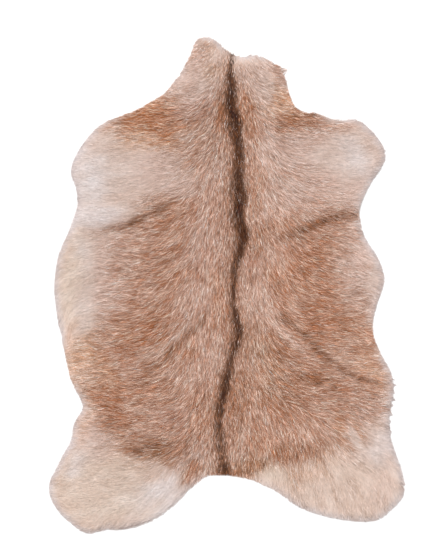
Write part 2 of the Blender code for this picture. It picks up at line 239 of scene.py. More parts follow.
Swirl = namedtuple("Swirl", "place x y reach turn strength")
SWIRLS = table(Swirl, [
    ("left flank edge, top", -300, 60, 35, 55, 0.9),
    ("left flank edge, middle", -300, 0, 40, 38, 0.9),
    ("left flank edge, low", -302, -60, 35, 8, 0.9),
    ("left flank inside", -267, 10, 25, 48, 0.7),
    ("left low flank edge", -300, -95, 18, 0, 0.7),
    ("right shoulder tip", 280, 225, 40, 105, 0.8),
    ("right armpit edge", 246, 165, 30, 108, 0.8),
    ("right flank edge", 255, 60, 45, 63, 0.8),
    ("right flank edge, low", 282, -10, 25, 18, 0.8),
    ("right hip", 245, -258, 40, 50, 0.8),
    ("right hind leg, top", 140, -292, 40, 24, 0.8),
    ("right hind leg", 150, -330, 60, 4, 0.9),
    ("right hind leg, middle", 235, -358, 25, 72, 0.7),
    ("right hind leg edge", 300, -365, 30, 9, 0.8),
    ("right foot", 180, -392, 40, 6, 0.8),
    ("right foot, low", 240, -412, 38, 8, 0.85),
    ("right foot, outer side", 285, -398, 45, 5, 0.85),
    ("left hind leg, top", -200, -300, 50, 85, 0.8),
    ("left hock", -290, -330, 35, 50, 0.8),
    ("left hind leg", -220, -370, 55, 86, 0.8),
    ("left hind leg, inner side", -95, -360, 40, 20, 0.8),
    ("left foot, inner side", -130, -420, 45, 50, 0.7),
    ("left foot tip", -300, -427, 25, 110, 0.7),
    ("left foot, low", -225, -450, 40, 42, 0.8),
    ("left crown", -69, 415, 30, 76, 0.8),
    ("right neck", 75, 398, 30, 75, 0.8),
])

# Small tufts that stick out at the edge: the point, and how far around it hair gathers to it
Tuft = namedtuple("Tuft", "place x y reach")
TUFTS = table(Tuft, [
    ("right neck corner", 116, 409, 16), ("right hip, first", 320, -181, 12),
    ("right hip, second", 322, -190, 14), ("right hip, third", 319, -206, 12),
    ("right hip, fourth", 320, -219, 15), ("right hip, fifth", 316, -229, 11),
    ("right hip, sixth", 315, -247, 14), ("right hip, seventh", 312, -259, 11),
    ("right hip, last", 313, -279, 13),
])

# Soft oval markings: middle, half sizes, the long side's angle from +X in degrees, tone and strength
Marking = namedtuple("Marking", "place x y long wide turn tone strength")
MARKINGS = table(Marking, [
    ("left back", -55, 20, 330, 55, 92, "rosy fawn", 0.6),
    ("right back", 75, 40, 330, 45, 90, "rosy fawn", 0.35),
    ("left belly", -152, -5, 158, 72, 88, "brown", 0.55),
    ("right belly", 180, -10, 135, 70, 86, "brown", 0.95),
    ("right thigh", 150, -215, 125, 68, 8, "brown", 0.6),
    ("right low back", 58, -195, 65, 28, 80, "brown", 0.4),
    ("right thigh, inner side", 98, -211, 38, 24, 0, "dark brown", 0.7),
    ("right loin, inner side", 78, -145, 54, 27, -62, "smoky", 0.7),
    ("right loin, middle", 102, -110, 28, 18, -45, "brown", 0.7),
    ("right of the stripe, low", 19, -228, 66, 15, 84, "dark brown", 0.95),
    ("left thigh", -150, -240, 110, 70, 0, "brown", 0.55),
    ("left shoulder", -215, 215, 125, 80, 20, "pale", 0.95),
    ("left shoulder edge", -268, 180, 75, 34, 84, "white", 0.9),
    ("left shoulder inner side", -118, 232, 62, 42, 20, "rosy", 0.85),
    ("left shoulder streak", -150, 322, 74, 35, 10, "ginger", 1.0),
    ("left shoulder lower streak", -110, 291, 52, 28, -10, "ginger", 1.0),
    ("left shoulder fading", -150, 280, 62, 22, 0, "light ginger", 0.5),
    ("left shoulder streak, inner end", -83, 318, 24, 17, 0, "rosy fawn", 0.8),
    ("left shoulder, upper corner", -238, 278, 28, 15, 45, "pale", 0.8),
    ("left shoulder lower streak, end", -108, 291, 26, 14, -10, "chestnut", 0.5),
    ("left shoulder, pale spot by the withers", -70, 277, 28, 17, 20, "rosy", 0.7),
    ("withers", -60, 265, 60, 40, 50, "smoky", 0.12),
    ("right shoulder", 165, 235, 110, 65, 0, "rosy", 0.85),
    ("right shoulder edge", 243, 248, 72, 48, 60, "pale", 0.85),
    ("right shoulder low", 150, 168, 95, 30, 5, "rosy", 0.5),
    ("right shoulder, inner side", 113, 266, 32, 20, 0, "rosy", 0.9),
    # Painted shadow below the neck fur, along with the darker hair in the crease
    ("right neck crease", 143, 311, 42, 22, 4, "dark brown", 1.0),
    ("right neck crease end", 197, 303, 34, 15, -5, "fawn", 0.75),
    ("crown", -38, 425, 58, 45, 60, "peach", 0.9),
    ("crown, right side", -12, 438, 24, 14, 60, "rosy", 0.8),
    ("crown, left side", -64, 431, 26, 16, 60, "rosy fawn", 0.75),
    ("left neck", -50, 374, 56, 34, 50, "rosy", 0.95),
    ("left neck, low", -52, 334, 30, 20, 30, "rosy fawn", 0.6),
    ("neck beside the stripe, left top", -21, 362, 16, 20, 0, "rosy", 0.5),
    ("left neck edge", -86, 399, 60, 24, 52, "rosy", 0.8),
    ("right crown", 47, 432, 42, 17, -12, "pale", 0.7),
    ("right crown, low", 79, 406, 30, 16, -20, "rosy fawn", 0.8),
    ("right neck", 72, 378, 46, 27, -75, "pale", 0.72),
    ("neck beside the stripe, right top", 46, 378, 23, 20, 0, "rosy", 0.8),
    ("right crown, beside the stripe", 31, 399, 14, 18, 0, "rosy", 0.7),
    ("right neck, low", 94, 325, 27, 16, 0, "peach", 0.9),
    ("right neck edge", 112, 346, 36, 15, -58, "light ginger", 0.9),
    ("neck beside the stripe, left", -11, 322, 28, 13, 78, "ginger", 0.35),
    ("neck beside the stripe, right", 34, 328, 40, 14, -80, "ginger", 0.45),
    ("left armpit patch", -105, 140, 45, 28, 10, "brown", 0.75),
    ("left belly upper spot", -112, 50, 34, 14, 80, "brown", 0.7),
    ("left belly, top spot", -107, 92, 28, 21, 0, "brown", 0.85),
    ("left belly, pale spot", -74, -24, 28, 16, 60, "rosy", 0.5),
    ("left belly lower spot", -130, -50, 38, 16, 30, "brown", 0.8),
    ("left belly low field", -172, -97, 66, 42, 0, "chestnut", 0.6),
    ("left flank edge", -293, 0, 135, 43, 90, "cream", 0.95),
    ("left flank edge, inner side", -261, 2, 74, 19, 89, "pale", 0.95),
    ("left armpit edge", -250, 123, 56, 24, 0, "white", 0.9),
    ("left flank inner edge", -228, 30, 100, 32, 88, "rosy", 0.9),
    ("left belly, upper edge", -205, 22, 66, 17, 88, "fawn", 0.85),
    ("left flank, low part of the inner edge", -268, -66, 46, 18, 88, "pale", 0.75),
    ("left low flank", -258, -160, 64, 34, -70, "light ginger", 0.95),
    ("left low flank, pale spot", -268, -184, 40, 27, 70, "peach", 1.0),
    ("left low flank, ginger spot", -221, -180, 30, 17, -60, "ginger", 0.5),
    ("left groin", -229, -238, 62, 25, -58, "chestnut", 0.9),
    ("left hock edge", -278, -275, 42, 20, 78, "rosy", 0.7),
    ("left loin shade", -115, -125, 75, 20, 42, "smoky", 0.15),
    ("left hind leg", -240, -395, 125, 80, -18, "cream", 1.0),
    ("left hind band", -125, -322, 70, 22, -10, "brown", 0.3),
    ("rump, left side", -56, -336, 25, 14, 0, "rosy", 0.9),
    ("left hind patch", -151, -315, 43, 20, -6, "dark brown", 1.0),
    ("left hind patch, middle", -151, -308, 28, 13, 0, "umber", 0.16),
    ("left hock", -253, -290, 36, 27, -60, "rosy", 0.9),
    ("left hock, pale spot", -270, -321, 27, 18, 80, "pale", 0.7),
    ("left hind leg inner side", -116, -382, 62, 30, 20, "white", 0.85),
    ("left hind leg, inner edge", -132, -415, 42, 20, 20, "white", 0.5),
    ("left hind leg beige", -245, -390, 60, 32, 0, "sand", 0.35),
    ("left hind foot beige", -225, -448, 55, 18, 0, "sand", 0.4),
    ("rump corner", -70, -358, 22, 15, 30, "chestnut", 0.9),
    ("rump", 10, -340, 55, 26, 0, "brown", 0.25),
    ("left thigh, inner side", -55, -253, 20, 26, 0, "brown", 0.75),
    ("left thigh, pale spot", -107, -251, 27, 17, 0, "rosy fawn", 0.8),
    ("rump, right side", 70, -302, 32, 21, 0, "brown", 0.95),
    ("rump edge", 26, -354, 48, 16, 8, "dark brown", 0.8),
    ("right hind leg", 235, -392, 125, 62, 0, "cream", 1.0),
    ("right hind patch", 130, -316, 45, 18, 10, "dark brown", 0.85),
    ("right hind leg beige", 225, -400, 95, 52, 0, "sand", 0.85),
    ("right hind leg, outer side", 300, -390, 50, 24, 80, "rosy", 0.5),
    ("right foot", 240, -434, 70, 24, 12, "sand", 0.6),
    ("right hind leg edge", 320, -370, 70, 18, 84, "pale", 0.4),
    ("right hind inner spot", 86, -358, 34, 20, -30, "cream", 0.9),
    ("rump edge, right end", 48, -342, 28, 16, 8, "smoky", 0.95),
    ("right hind tongue", 128, -362, 24, 10, -70, "peach", 0.7),
    ("right hind leg, upper spot", 168, -361, 27, 17, 0, "peach", 0.65),
    ("right hind white streak", 255, -304, 24, 11, -50, "white", 0.7),
    ("right hip edge", 286, -294, 50, 28, 66, "pale", 0.75),
    ("right hip", 284, -165, 46, 26, -60, "light ginger", 0.75),
    ("right hip edge, top", 309, -180, 28, 12, -72, "fawn", 0.8),
    ("right thigh ginger", 258, -250, 34, 20, 60, "rosy", 0.4),
    ("right thigh spot", 165, -177, 32, 18, 0, "dark brown", 0.95),
    ("right thigh lower spot", 115, -240, 34, 16, 20, "dark brown", 0.15),
    ("right thigh streak", 214, -272, 30, 8, 98, "ginger", 0.7),
    ("right thigh outer streak", 252, -282, 26, 6, -65, "ginger", 0.55),
    ("right hip ginger", 281, -230, 24, 15, 0, "fawn", 0.8),
    ("right belly upper spot", 168, 57, 38, 24, 60, "chestnut", 0.85),
    ("right belly lower spot", 172, -68, 52, 28, 80, "chestnut", 0.55),
    ("right belly ginger", 245, -85, 38, 28, 0, "ginger", 0.35),
    ("right back spot", 90, 20, 20, 12, -30, "brown", 0.7),
    ("beside the stripe, middle left", -17, -32, 52, 13, 85, "brown", 0.85),
    ("beside the stripe, upper right", 54, 203, 38, 15, 88, "brown", 0.8),
    ("beside the stripe, right of the bulge", 50, 152, 14, 22, 0, "brown", 0.85),
    ("beside the stripe, middle right", 60, 85, 28, 18, 80, "dark brown", 0.6),
    ("right belly, inner side", 113, 8, 28, 20, 80, "chestnut", 0.75),
    ("right flank edge", 258, 58, 94, 44, 90, "rosy", 0.85),
    ("right flank, top", 247, 110, 28, 17, 70, "fawn", 0.9),
    ("right flank, outermost", 285, 14, 42, 13, 88, "pale", 0.7),
    ("right flank, low edge", 273, -99, 30, 20, 88, "brown", 0.75),
    ("right armpit edge", 252, 168, 45, 22, 70, "rosy", 0.8),
    # Smaller spots that lie over the ones above
    ("left thigh, upper spot", -154, -209, 28, 16, 0, "chestnut", 0.6),
    ("left hock, outer edge", -288, -344, 24, 14, 80, "white", 0.7),
    ("right shoulder, white edge", 244, 241, 38, 20, -56, "white", 0.7),
    ("right shoulder, lower spot", 187, 202, 24, 16, 0, "rosy fawn", 0.5),
    ("right loin, below the ridge", 100, -132, 42, 18, 0, "dark brown", 0.6),
    ("left low flank, outermost", -300, -106, 24, 15, 80, "peach", 0.95),
    ("left loin, below the fold", -75, -121, 32, 14, 42, "brown", 0.9),
    ("left belly, low pale spot", -171, -149, 26, 15, 40, "fawn", 0.5),
    ("left armpit, upper pale spot", -208, 152, 28, 16, 10, "pale", 0.8),
    ("left back, pale spot", -57, 78, 24, 20, 0, "rosy", 0.4),
    ("left withers, pale spot", -99, 183, 26, 16, 0, "rosy", 0.6),
    ("left hind band, pale spot", -168, -285, 24, 12, 0, "fawn", 0.6),
    ("left flank, upper pale spot", -257, 67, 24, 14, 80, "pale", 0.7),
    ("left withers", -54, 225, 26, 20, 0, "brown", 0.5),
    ("beside the stripe, right of the neck", 48, 296, 34, 13, -72, "brown", 0.65),
    ("left hock, upper edge", -272, -256, 32, 16, 78, "peach", 0.9),
    ("rump corner, outer end", -63, -373, 15, 11, 0, "rosy fawn", 0.9),
    ("left belly, middle", -103, 14, 24, 18, 0, "brown", 0.8),
    ("left hind patch, low edge", -141, -334, 26, 12, -6, "smoky", 0.6),
    ("right shoulder, inner low spot", 126, 209, 24, 16, 0, "fawn", 0.5),
    ("right hind leg, upper outer side", 296, -314, 34, 20, 80, "white", 0.7),
    ("right hip, pale inner spot", 245, -301, 24, 12, -50, "pale", 0.8),
    ("left flank, inner pale spot", -266, 5, 34, 16, 88, "pale", 0.9),
    ("left crown, lower spot", -31, 401, 20, 14, 50, "peach", 0.9),
    ("left low flank, lower pale spot", -266, -176, 24, 16, 70, "peach", 0.8),
    ("left neck, pale spot", -61, 373, 26, 16, 50, "rosy", 0.9),
    ("left of the stripe, pale spot", -14, 213, 14, 22, 0, "rosy", 0.5),
    ("right hip, pale spot", 304, -206, 18, 12, 80, "rosy", 0.8),
    ("left foot, pale edge", -177, -453, 34, 14, 10, "pale", 0.8),
    ("left armpit, pale edge", -232, 130, 32, 14, 10, "white", 0.85),
    ("right back, pale spot", 50, 42, 16, 22, 0, "rosy fawn", 0.8),
    ("right armpit, inner spot", 99, 107, 22, 14, 20, "brown", 0.6),
    ("left of the stripe, middle", -28, 10, 12, 20, 0, "brown", 0.6),
    ("right shoulder, middle pale spot", 187, 240, 24, 16, 0, "pale", 0.6),
    ("left belly, outer ginger spot", -200, -94, 24, 18, 0, "ginger", 0.35),
    ("right belly, upper pale spot", 130, 68, 20, 14, 0, "fawn", 0.6),
    ("left flank, low pale spot", -272, -85, 20, 14, 80, "pale", 0.8),
    ("right low back, dark spot", 67, -171, 20, 14, 0, "brown", 0.5),
    ("left of the stripe, low", -27, -249, 18, 12, 80, "dark brown", 0.5),
    ("rump edge, right side", 46, -341, 20, 12, 8, "dark brown", 0.4),
    ("right of the stripe, neck", 40, 316, 16, 10, -80, "dark brown", 0.4),
    ("left neck, upper pale spot", -46, 381, 18, 12, 50, "pale", 0.5),
    ("right neck crease, inner end", 112, 297, 16, 12, 0, "brown", 0.7),
    ("right belly, middle spot", 168, -6, 22, 18, 0, "chestnut", 0.45),
    ("right neck crease, outer end", 206, 305, 18, 12, 0, "peach", 0.7),
    ("left groin, ginger spot", -230, -244, 20, 14, -58, "chestnut", 0.5),
    ("crown, top", -29, 441, 16, 10, 60, "pale", 0.5),
    ("left flank edge, upper white spot", -284, 66, 20, 16, 80, "white", 0.6),
    ("right belly, inner spot", 103, 23, 18, 16, 0, "brown", 0.6),
    ("right hip, upper edge", 289, -152, 18, 12, -60, "fawn", 0.6),
])

# Where the colour runs right up to the edge, without the painted shade of the rim
DarkEdge = namedtuple("DarkEdge", "place x y reach")
DARK_EDGES = table(DarkEdge, [
    ("left shoulder streak", -130, 338, 80), ("right neck crease", 145, 322, 45),
    ("rump", 10, -368, 70), ("left low flank", -290, -150, 38),
    ("right neck", 120, 352, 42), ("right flank, low", 277, -99, 32),
    ("crown, left side", -66, 435, 30), ("top of the stripe", 14, 442, 14),
    ("right crown, outer end", 92, 411, 24),
])

# Lines of changed tone, mostly along the folds: painted shade in the crease bottoms, along with the
# darker hair parted there, and painted light on the ridges beside them. Shade is the light that the
# bottom of a crease loses, and below 0 what the ridge beside it gains.
Crease = namedtuple("Crease", "place tone half_width shade rows")
CreaseRow = namedtuple("CreaseRow", "x y strength")
CREASES = [
    Crease("beside the stripe", "brown", 22, 0.00, table(CreaseRow, [
        (8, 380, 0.1), (9, 340, 0.65), (20, 270, 0.6), (24, 200, 0.25), (28, 160, 0.45), (30, 95, 0.6),
        (14, 20, 0.2), (25, -85, 0.45), (5, -157, 0.4), (-15, -240, 0.4), (-9, -350, 0.3)])),
    Crease("left armpit", "dark brown", 8, 0.30, table(CreaseRow, [
        (-290, 101, 0.05), (-250, 102, 0.2), (-214, 106, 0.55), (-185, 114, 1.0), (-164, 125, 1.0),
        (-135, 140, 0.8), (-107, 157, 0.4)])),
    Crease("right armpit", "dark brown", 11, 0.30, table(CreaseRow, [
        (83, 80, 0.2), (107, 88, 0.5), (132, 97, 0.8), (159, 108, 1.0), (181, 119, 1.0),
        (212, 129, 1.0), (245, 133, 0.6)])),
    Crease("left loin ridge", "rosy", 9, -0.10, table(CreaseRow, [
        (-160, -152, 0.2), (-118, -118, 0.5), (-78, -82, 0.5), (-56, -52, 0.2)])),
    Crease("left loin", "dark brown", 8, 0.26, table(CreaseRow, [
        (-182, -193, 0.2), (-145, -162, 0.5), (-111, -132, 0.75), (-81, -102, 0.75), (-43, -67, 0.5)])),
    Crease("right loin ridge", "rosy", 7, -0.12, table(CreaseRow, [
        (84, -66, 0.3), (102, -85, 0.6), (134, -114, 0.6), (160, -146, 0.25)])),
    Crease("right loin ridge, outer end", "peach", 8, -0.08, table(CreaseRow, [
        (196, -122, 0.4), (226, -146, 0.5), (262, -160, 0.6), (296, -170, 0.7)])),
    Crease("right loin", "dark brown", 7, 0.24, table(CreaseRow, [
        (106, -58, 0.6), (117, -71, 0.9), (147, -94, 0.9), (170, -121, 1.0), (197, -143, 0.9),
        (212, -153, 0.6), (227, -168, 0.8), (257, -180, 0.9), (284, -187, 0.4)])),
]

# The dark line down the back, from the crown to the rump
StripeRow = namedtuple("StripeRow", "x y half_width strength")
STRIPE = table(StripeRow, [
    (14, 443, 2.2, 0.9), (9, 423, 3.4, 0.9), (5.5, 402, 5.2, 0.95),
    (7, 390, 8.5, 0.95), (9, 377, 11.4, 0.95), (8, 358, 12, 1),
    (8, 338, 11.5, 1), (12.5, 318, 12.5, 1), (16, 304, 14.5, 1),
    (16.5, 288, 13.5, 1), (21, 270, 10.5, 1), (23.5, 252, 11, 0.95),
    (22.5, 221, 11.2, 0.92), (22.5, 190, 11.2, 0.97), (27.5, 165, 15.5, 1),
    (23, 147, 12.8, 1), (19, 130, 11.6, 1), (28, 109, 12, 1),
    (32, 92, 12, 1), (27, 72, 10.8, 0.95), (23, 58, 9.4, 0.9),
    (18, 40, 8.2, 0.85), (13, 12, 6.6, 0.75), (12, -16, 5.8, 0.78),
    (12, -40, 6.2, 0.8), (15, -54, 7, 0.85), (22.5, -81, 9.4, 1),
    (21, -100, 9.4, 0.95), (16, -117, 9, 0.9), (9.5, -136, 7.7, 0.85),
    (6, -157, 8.3, 0.85), (3, -170, 8.6, 0.9), (-1, -190, 9, 0.92),
    (-6, -211, 8, 0.97), (-14, -240, 7.6, 0.93), (-15.5, -263, 7.6, 0.78),
    (-14, -282, 8.2, 0.62), (-12, -300, 9, 0.5), (-9, -328, 9.2, 0.5),
    (-6, -348, 10.5, 0.8), (-3, -362, 12, 0.85),
])

# Camera, floor and light
CAMERA_HEIGHT = 2.950
CAMERA_X = -0.00665
CAMERA_Y = 0.01045
CAMERA_LENS = 100.0
CAMERA_SENSOR = 36.0
FLOOR_SIZE = 40.0
FLOOR_TONE = (0.80, 0.80, 0.80)
FLOOR_GRAIN = 0.985
WORLD_STRENGTH = 0.63
KEY_PLACE = (-1.3, 2.9, 8.0)
KEY_SIZE = 4.0
KEY_POWER = 750.0


# Smooth fields over the hide

NOISE_CELLS = 64


def soft_noise(x, y, size, seed):
    """Smooth noise from -1 to 1 with lumps of about this size, for arrays of places in mm."""
    lattice = np.random.default_rng(seed).uniform(-1, 1, (NOISE_CELLS, NOISE_CELLS))
    u = x / size + NOISE_CELLS / 2
    v = y / size + NOISE_CELLS / 2
    i = np.floor(u).astype(int)
    j = np.floor(v).astype(int)
    a = u - i
    b = v - j
    a = a * a * (3 - 2 * a)
    b = b * b * (3 - 2 * b)
    i0, i1 = i % NOISE_CELLS, (i + 1) % NOISE_CELLS
    j0, j1 = j % NOISE_CELLS, (j + 1) % NOISE_CELLS
    low = lattice[i0, j0] * (1 - a) + lattice[i1, j0] * a
    high = lattice[i0, j1] * (1 - a) + lattice[i1, j1] * a
    return low * (1 - b) + high * b


def with_waves(value, x, y, waves):
    """The value with waves of smooth noise added to it."""
    for wave in waves:
        value = value + wave.height * soft_noise(x, y, wave.size, wave.seed)
    return value


def near_line(rows, x, y):
    """The distance to a line through the rows, and the rows' further columns at its nearest point."""
    nearest = np.full(x.shape, np.inf)
    columns = [np.zeros(x.shape) for _ in rows[0][2:]]
    for start, end in zip(rows, rows[1:]):
        run_x, run_y = end.x - start.x, end.y - start.y
        share = ((x - start.x) * run_x + (y - start.y) * run_y) / (run_x ** 2 + run_y ** 2)
        share = np.clip(share, 0, 1)
        distance = np.hypot(x - start.x - share * run_x, y - start.y - share * run_y)
        closer = distance < nearest
        nearest = np.where(closer, distance, nearest)
        for k, column in enumerate(columns):
            value = start[k + 2] + share * (end[k + 2] - start[k + 2])
            columns[k] = np.where(closer, value, column)
    return nearest, columns


def by_level(rows, column, y):
    """A column of the rows, read at the level y."""
    rows = sorted(rows, key=lambda row: row.y)
    return np.interp(y, [row.y for row in rows], [getattr(row, column) for row in rows])


def blend(tones, weight, name):
    """Moves the tones towards the named one by the weight, in place."""
    tones += weight[..., None] * (np.array(TONES[name], float) - tones)


def hide_tone(x, y, rim, facing):
    """The hair's tone in display values at places in mm, with their depth inside the rim in mm
    and the heading straight out over it. It holds painted shade in the creases and at the rim, and
    painted light on the ridges and on the rim's side towards the light."""
    warped_x = with_waves(x, x, y, WARP_ACROSS)
    warped_y = with_waves(y, x, y, WARP_ALONG)
    tones = np.broadcast_to(np.array(TONES["fawn"], float), x.shape + (3,)).copy()
    for mark in MARKINGS:
        cos, sin = math.cos(math.radians(mark.turn)), math.sin(math.radians(mark.turn))
        u = ((warped_x - mark.x) * cos + (warped_y - mark.y) * sin) / mark.long
        v = ((warped_y - mark.y) * cos - (warped_x - mark.x) * sin) / mark.wide
        reach = np.exp(-MARKING_FALL * (u * u + v * v) ** MARKING_POWER)
        blend(tones, mark.strength * reach, mark.tone)
    # Painted shade at the rim where the hair bends down at the edge, lighter on the sides facing the light at
    # the upper left and darker on the far sides
    edge = EDGE_SHADE_SHARE * np.exp(-(np.maximum(rim, 0) / EDGE_SHADE_FADE) ** EDGE_SHADE_POWER)
    for spot in DARK_EDGES:
        edge = edge * (1 - np.exp(-((x - spot.x) ** 2 + (y - spot.y) ** 2) / spot.reach ** 2))
    lit = EDGE_LIGHT * np.cos(facing - EDGE_LIGHT_HEADING)
    tones += edge[..., None] * (np.array(EDGE_SHADE_TONE) + lit[..., None] - tones)
    mottle = streak_noise(x, y, MOTTLE_STREAKS) * (1 + PALE_STREAKS * paleness(tones))
    tones += MOTTLE * mottle[..., None] * np.array(MOTTLE_TONE)
    # Painted shade along the crease bottoms, with the darker hair parted there, and painted light on the
    # ridges
    for crease in CREASES:
        distance, (strength,) = near_line(crease.rows, x, y)
        blend(tones, strength * np.exp(-(distance / crease.half_width) ** 2), crease.tone)
    distance, (half_width, strength) = near_line(STRIPE, with_waves(x, x, y, STRIPE_RAGGED), y)
    on_left = x < by_level(STRIPE, "x", y)
    soft = np.where(on_left, STRIPE_SOFT, 1)
    halo = np.exp(-(distance / (half_width * soft)) ** 2)
    blend(tones, STRIPE_HALO * strength * halo, "dark brown")
    depth = with_waves(STRIPE_DEPTH, x, y, STRIPE_DEPTH_WAVES)
    core = np.where(on_left, *STRIPE_CORE) * half_width
    power = np.where(on_left, *STRIPE_POWER)
    blend(tones, depth * strength * np.exp(-(distance / core) ** power), "umber")
    return tones


def fold_shade(places):
    """How much light the narrow bottoms of the creases keep, and the ridges beside them."""
    x, y = places.T
    kept = np.ones(x.shape)
    for crease in CREASES:
        distance, (strength,) = near_line(crease.rows, x, y)
        kept *= 1 - crease.shade * strength * np.exp(-(distance / FOLD_WIDTH) ** 2)
    return kept[:, None]


def paleness(tones):
    """How pale the tones are, from 0 for brown to 1 for cream, by their blue."""
    return np.clip((tones[..., 2] - PALE_FROM) / PALE_RANGE, 0, 1)


def streak_noise(x, y, rows):
    """Smooth noise drawn out along the hair's lie, over each row's reach in mm to both sides."""
    heading = hair_heading(x, y)
    total = 0
    for row in rows:
        values = [soft_noise(x + step * np.cos(heading), y + step * np.sin(heading), row.size, row.seed)
                  for step in np.linspace(-row.reach, row.reach, STREAK_STEPS)]
        total = total + row.height * (STREAK_GAIN * sum(values) / STREAK_STEPS)
    return total


def paint(tones):
    """Base colours that show as these display values once light has bounced between the hairs."""
    share = np.clip(np.asarray(tones, float) / 255, 0, 1)
    # The standard curve from display values to linear ones
    linear = np.where(share <= 0.04045, share / 12.92, ((share + 0.055) / 1.055) ** 2.4)
    linear = (linear / np.array(BOUNCE_GAIN)) ** (1 / np.array(BOUNCE_POWER))
    return np.maximum(linear - SHINE, LEAST_COLOUR) * TONE_GAIN


def hair_heading(x, y):
    """The direction in which the hair lies, as an angle from +X in radians."""
    axis = by_level(FLOW, "axis", y)
    left = by_level(FLOW, "left_spread", y)
    right = by_level(FLOW, "right_spread", y)
    side = np.where(x < axis, -1.0, 1.0)
    width = np.where(x < axis, left, right)
    turn = FULL_TURN * (1 - np.exp(-(np.abs(x - axis) / width) ** TURN_POWER))
    for swirl in SWIRLS:
        weight = swirl.strength * np.exp(-((x - swirl.x) ** 2 + (y - swirl.y) ** 2) / swirl.reach ** 2)
        turn = turn + weight * (swirl.turn - turn)
    turn = np.radians(with_waves(turn, x, y, LIE_WAVES))
    return np.arctan2(-np.cos(turn), side * np.sin(turn))


# The solid's shape

def welded(name):
    """The CAD node's mesh as one closed surface."""
    shape = bmesh.new()
    shape.from_mesh(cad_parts[name].data)
    bmesh.ops.remove_doubles(shape, verts=shape.verts, dist=WELD)
    shape.normal_update()
    return shape


def rim_ring(shape):
    """The underside's outline in order, as an array of x and y in mm."""
    beside = {}
    for edge in shape.edges:
        rises = sorted(face.normal.z for face in edge.link_faces)
        if len(rises) == 2 and rises[0] < -STEEP < rises[1]:
            start, end = edge.verts
            beside.setdefault(start, []).append(end)
            beside.setdefault(end, []).append(start)
    first = next(iter(beside))
    ring = [first]
    last, here = None, first
    while True:
        ahead = [vert for vert in beside[here] if vert is not last]
        last, here = here, ahead[0]
        if here is first:
            break
        ring.append(here)
    points = np.array([(vert.co.x, vert.co.y) for vert in ring]) / MM
    x, y = points.T
    area = np.sum(x * np.roll(y, -1) - y * np.roll(x, -1)) / 2
    return points if area > 0 else points[::-1]


def rim_distance(ring, x, y):
    """The distance to the outline in mm, above 0 on the hide and below 0 off it."""
    nearest = np.full(x.shape, np.inf)
    inside = np.zeros(x.shape, bool)
    for (x0, y0), (x1, y1) in zip(ring, np.roll(ring, -1, axis=0)):
        run_x, run_y = x1 - x0, y1 - y0
        share = np.clip(((x - x0) * run_x + (y - y0) * run_y) / (run_x ** 2 + run_y ** 2), 0, 1)
        nearest = np.minimum(nearest, (x - x0 - share * run_x) ** 2 + (y - y0 - share * run_y) ** 2)
        if y0 != y1:
            crossed = (y0 > y) != (y1 > y)
            inside ^= crossed & (x < x0 + (y - y0) / (y1 - y0) * run_x)
    return np.where(inside, 1, -1) * np.sqrt(nearest)


def fill_outwards(grid):
    """Cells off the hide take the mean of their known neighbours, ring by ring."""
    grid = grid.copy()
    while np.isnan(grid).any():
        known = np.pad(~np.isnan(grid), 1)
        values = np.pad(np.nan_to_num(grid), 1)
        total = np.zeros(grid.shape)
        count = np.zeros(grid.shape)
        for i in range(3):
            for j in range(3):
                window = (slice(i, i + grid.shape[0]), slice(j, j + grid.shape[1]))
                total += values[window]
                count += known[window]
        new = np.isnan(grid) & (count > 0)
        grid[new] = total[new] / count[new]
    return grid


class HideShape:
    """The solid's underside, top and rim distance on a grid, read at any place in mm."""

    def __init__(self, shape):
        self.ring = rim_ring(shape)
        across = np.arange(-GRID_HALF_WIDTH, GRID_HALF_WIDTH + GRID_STEP, GRID_STEP)
        along = np.arange(-GRID_HALF_LENGTH, GRID_HALF_LENGTH + GRID_STEP, GRID_STEP)
        x, y = np.meshgrid(across, along, indexing="ij")
        tree = BVHTree.FromBMesh(shape)
        under = np.full(x.shape, np.nan)
        over = np.full(x.shape, np.nan)
        for cell in np.ndindex(x.shape):
            place = (x[cell] * MM, y[cell] * MM)
            hit = tree.ray_cast(Vector((*place, FAR)), Vector((0, 0, -1)))[0]
            if hit is not None:
                over[cell] = hit.z / MM
                under[cell] = tree.ray_cast(Vector((*place, -FAR)), Vector((0, 0, 1)))[0].z / MM
        self.under = fill_outwards(under)
        self.over = fill_outwards(over)
        self.rim = rim_distance(self.ring, x, y)
        self.rise_x, self.rise_y = np.gradient(self.rim)

    def read(self, grid, x, y):
        """The grid's value at places in mm, between its points."""
        u = np.clip((x + GRID_HALF_WIDTH) / GRID_STEP, 0, grid.shape[0] - JUST_PAST_LAST)
        v = np.clip((y + GRID_HALF_LENGTH) / GRID_STEP, 0, grid.shape[1] - JUST_PAST_LAST)
        i = u.astype(int)
        j = v.astype(int)
        a = u - i
        b = v - j
        low = grid[i, j] * (1 - a) + grid[i + 1, j] * a
        high = grid[i, j + 1] * (1 - a) + grid[i + 1, j + 1] * a
        return low * (1 - b) + high * b

    def within(self, places):
        """How far inside the rim the places are, in mm."""
        return self.read(self.rim, *places.T)

    def outwards(self, x, y):
        """The direction straight out over the edge, as an angle from +X in radians."""
        return np.arctan2(-self.read(self.rise_y, x, y), -self.read(self.rise_x, x, y))


# Materials

Surface = namedtuple("Surface", "material nodes links shader")


def new_surface(name):
    """An empty node material with its nodes, its links and its main shader."""
    material = bpy.data.materials.new(name)
    material.use_nodes = True
    tree = material.node_tree
    return Surface(material, tree.nodes, tree.links, tree.nodes["Principled BSDF"])


def noise(surface, scale, detail, roughness=0.5):
    """Noise from 0 to 1 in the piece's own metres."""
    place = surface.nodes.new("ShaderNodeTexCoord")
    texture = surface.nodes.new("ShaderNodeTexNoise")
    texture.inputs["Scale"].default_value = scale
    texture.inputs["Detail"].default_value = detail
    texture.inputs["Roughness"].default_value = roughness
    surface.links.new(place.outputs["Object"], texture.inputs["Vector"])
    return texture.outputs["Fac"]


